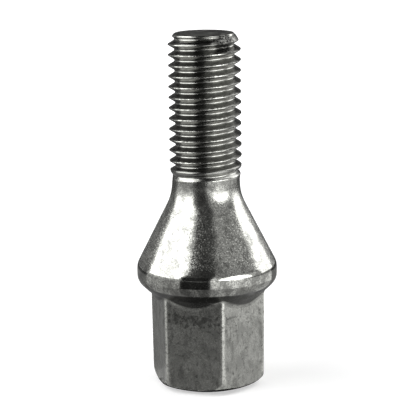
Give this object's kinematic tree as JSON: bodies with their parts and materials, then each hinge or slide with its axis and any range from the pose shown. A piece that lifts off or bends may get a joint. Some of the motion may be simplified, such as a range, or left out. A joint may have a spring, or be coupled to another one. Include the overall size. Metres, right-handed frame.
{
  "type": "wheel bolt",
  "caption": "One-piece forged steel wheel bolt: hexagon head, rim, long conical seat, short neck and a rolled right-hand thread with a chamfered tip.",
  "frame": {"origin": "centre of the head's flat end face, on which the bolt stands", "axes": "+Z along the bolt's axis from the head to the threaded tip; +X towards one corner of the hexagon, so two flats face along Y"},
  "size_m": [0.0234, 0.0234, 0.0592],
  "materials": {
    "plated_steel": "dark grey plated forged steel, glossy on the rolled thread and satin with fine mottling on the seat and head"
  },
  "bodies": {
    "root": {"wheel_bolt": "plated_steel"}
  },
  "joints": []
}
